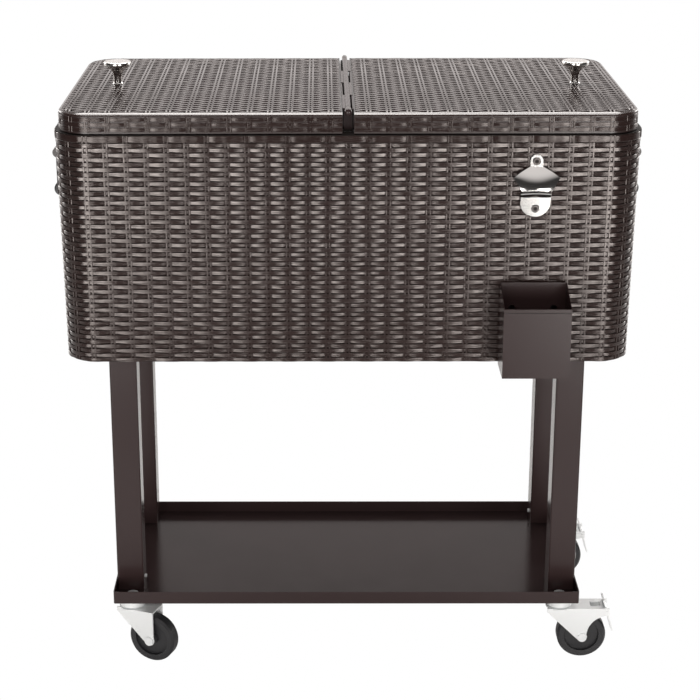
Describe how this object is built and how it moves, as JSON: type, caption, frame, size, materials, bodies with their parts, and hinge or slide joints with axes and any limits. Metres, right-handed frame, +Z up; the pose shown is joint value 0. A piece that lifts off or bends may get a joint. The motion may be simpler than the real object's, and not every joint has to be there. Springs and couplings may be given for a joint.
{
  "type": "rolling patio cooler cart",
  "caption": "Wicker-look patio cooler cart with centre-hinged lids, bottle opener, cap catcher, shelf tray, side handles and swivel casters.",
  "frame": {"origin": "on the floor, at the middle of the outline", "axes": "+Z up, -Y the front with the opener and the cap catcher, +X to the right seen from the front"},
  "size_m": [0.893, 0.5116, 0.9255],
  "materials": {
    "woven": "satin, moulded in a wicker look",
    "trim": "satin dark brown",
    "liner": "smooth white",
    "foam": "rigid insulation foam",
    "painted": "dark brown powder coat",
    "steel": "plain steel",
    "zinc": "bright zinc plate",
    "chrome": "polished",
    "wheel": "satin black",
    "rubber": "matt",
    "plastic": "satin black"
  },
  "bodies": {
    "cart": {"tub_shell": "woven", "tub_rim": "woven", "tub_liner": "liner", "tub_foam": "foam", "base_panel": "painted", "center_bar": "trim", "hinge_posts": "steel", "post_screws": "steel", "hinge_rod": "steel", "drain_spout": "plastic", "drain_gasket": "rubber", "drain_nut": "plastic", "leg_front_left": "painted", "leg_front_right": "painted", "leg_back_left": "painted", "leg_back_right": "painted", "leg_bolts": "steel", "foot_inserts": "plastic", "foot_bolts": "zinc", "bolt_caps": "painted", "tray": "painted", "tray_bolts": "steel", "caster_races": "zinc", "caster_bolts": "zinc", "caster_nuts": "zinc", "bottle_opener": "chrome", "front_fixings": "chrome", "handle_brackets": "painted", "bracket_screws": "painted", "handle_pins": "painted"},
    "lid_left": {"lid_left_shell": "woven", "lid_left_foam": "foam", "lid_left_panel": "liner", "lid_left_seal": "rubber", "hinge_leaf_left": "steel", "knob_left": "chrome", "knob_screw_left": "steel"},
    "lid_right": {"lid_right_shell": "woven", "lid_right_foam": "foam", "lid_right_panel": "liner", "lid_right_seal": "rubber", "hinge_leaf_right": "steel", "knob_right": "chrome", "knob_screw_right": "steel"},
    "bail_left": {"handle_left": "painted", "grip_left": "plastic"},
    "bail_right": {"handle_right": "painted", "grip_right": "plastic"},
    "catcher": {"cap_catcher": "painted"},
    "drain_stopper": {"drain_cap": "plastic"},
    "swivel_front_left": {"fork_front_left": "zinc"},
    "roller_front_left": {"wheel_front_left": "wheel"},
    "swivel_front_right": {"fork_front_right": "zinc"},
    "roller_front_right": {"wheel_front_right": "wheel"},
    "pedal_front_right": {"brake_front_right": "zinc"},
    "swivel_back_left": {"fork_back_left": "zinc"},
    "roller_back_left": {"wheel_back_left": "wheel"},
    "swivel_back_right": {"fork_back_right": "zinc"},
    "roller_back_right": {"wheel_back_right": "wheel"},
    "pedal_back_right": {"brake_back_right": "zinc"}
  },
  "joints": [
    {"name": "lid_left_open", "type": "hinge", "parent": "cart", "child": "lid_left", "pos_m": [0, 0.03275, 0.891], "axis": [0, 1, 0], "range_deg": [0, 83]},
    {"name": "lid_right_open", "type": "hinge", "parent": "cart", "child": "lid_right", "pos_m": [0, 0.03275, 0.891], "axis": [0, -1, 0], "range_deg": [0, 83]},
    {"name": "bail_left_swing", "type": "hinge", "parent": "cart", "child": "bail_left", "pos_m": [-0.4355, 0.03275, 0.8], "axis": [0, 1, 0], "range_deg": [0, 120]},
    {"name": "bail_right_swing", "type": "hinge", "parent": "cart", "child": "bail_right", "pos_m": [0.4355, 0.03275, 0.8], "axis": [0, -1, 0], "range_deg": [0, 120]},
    {"name": "catcher_lift", "type": "slide", "parent": "cart", "child": "catcher", "axis": [0, 0, 1], "range_m": [0, 0.012]},
    {"name": "drain_stopper_turn", "type": "hinge", "parent": "cart", "child": "drain_stopper", "pos_m": [0.25, 0.09275, 0.495], "axis": [0, 0, 1], "continuous": true},
    {"name": "swivel_front_left_turn", "type": "hinge", "parent": "cart", "child": "swivel_front_left", "pos_m": [-0.337, -0.12705, 0.09], "axis": [0, 0, 1], "continuous": true},
    {"name": "roller_front_left_spin", "type": "hinge", "parent": "swivel_front_left", "child": "roller_front_left", "pos_m": [-0.30362, -0.14054, 0.0385], "axis": [0.3746, 0.9272, 0], "continuous": true},
    {"name": "swivel_front_right_turn", "type": "hinge", "parent": "cart", "child": "swivel_front_right", "pos_m": [0.337, -0.12705, 0.09], "axis": [0, 0, 1], "continuous": true},
    {"name": "roller_front_right_spin", "type": "hinge", "parent": "swivel_front_right", "child": "roller_front_right", "pos_m": [0.373, -0.12705, 0.0385], "axis": [0, 1, 0], "continuous": true},
    {"name": "pedal_front_right_press", "type": "hinge", "parent": "swivel_front_right", "child": "pedal_front_right", "pos_m": [0.411, -0.12705, 0.082], "axis": [0, 1, 0], "range_deg": [0, 13]},
    {"name": "swivel_back_left_turn", "type": "hinge", "parent": "cart", "child": "swivel_back_left", "pos_m": [-0.337, 0.15355, 0.09], "axis": [0, 0, 1], "continuous": true},
    {"name": "roller_back_left_spin", "type": "hinge", "parent": "swivel_back_left", "child": "roller_back_left", "pos_m": [-0.301, 0.15355, 0.0385], "axis": [0, 1, 0], "continuous": true},
    {"name": "swivel_back_right_turn", "type": "hinge", "parent": "cart", "child": "swivel_back_right", "pos_m": [0.337, 0.15355, 0.09], "axis": [0, 0, 1], "continuous": true},
    {"name": "roller_back_right_spin", "type": "hinge", "parent": "swivel_back_right", "child": "roller_back_right", "pos_m": [0.373, 0.15355, 0.0385], "axis": [0, 1, 0], "continuous": true},
    {"name": "pedal_back_right_press", "type": "hinge", "parent": "swivel_back_right", "child": "pedal_back_right", "pos_m": [0.411, 0.15355, 0.082], "axis": [0, 1, 0], "range_deg": [0, 13]}
  ]
}
